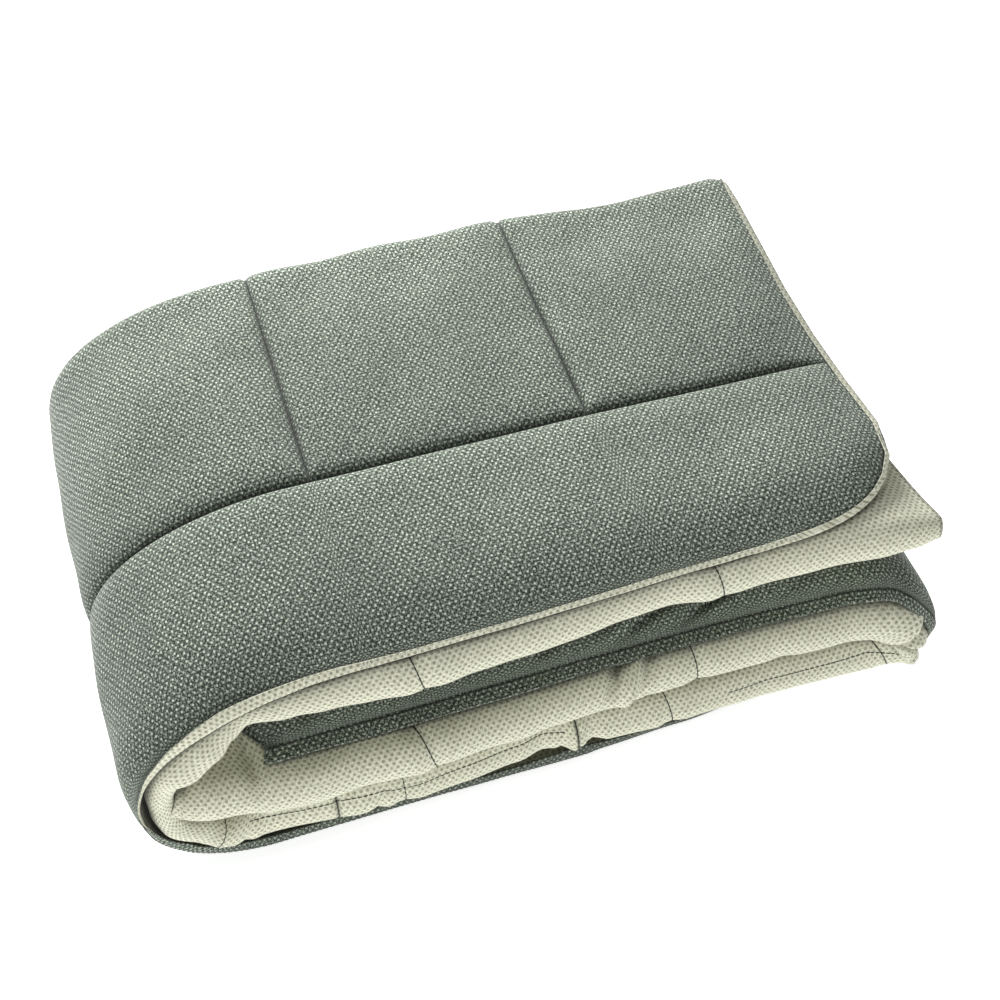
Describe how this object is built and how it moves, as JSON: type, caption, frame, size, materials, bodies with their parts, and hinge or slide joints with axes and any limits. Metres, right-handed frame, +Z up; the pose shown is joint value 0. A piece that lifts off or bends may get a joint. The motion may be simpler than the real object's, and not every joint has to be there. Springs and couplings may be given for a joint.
{
  "type": "folded quilt",
  "caption": "Quilt folded into a flat pack, dark speckled face outside, pale dotted back showing along the open folds of the near side.",
  "frame": {"origin": "centre of the bounding box, at its base, on the surface that the pack rests on", "axes": "+X along the folded strip, from the round left bend to the free end on top; +Y from the near side with the open folds to the far side; +Z up"},
  "size_m": [0.5644, 0.3606, 0.2001],
  "materials": {
    "quilt": "matt woven cloth, dark speckled face and pale dotted back"
  },
  "bodies": {
    "root": {"quilt": "quilt"}
  },
  "joints": []
}
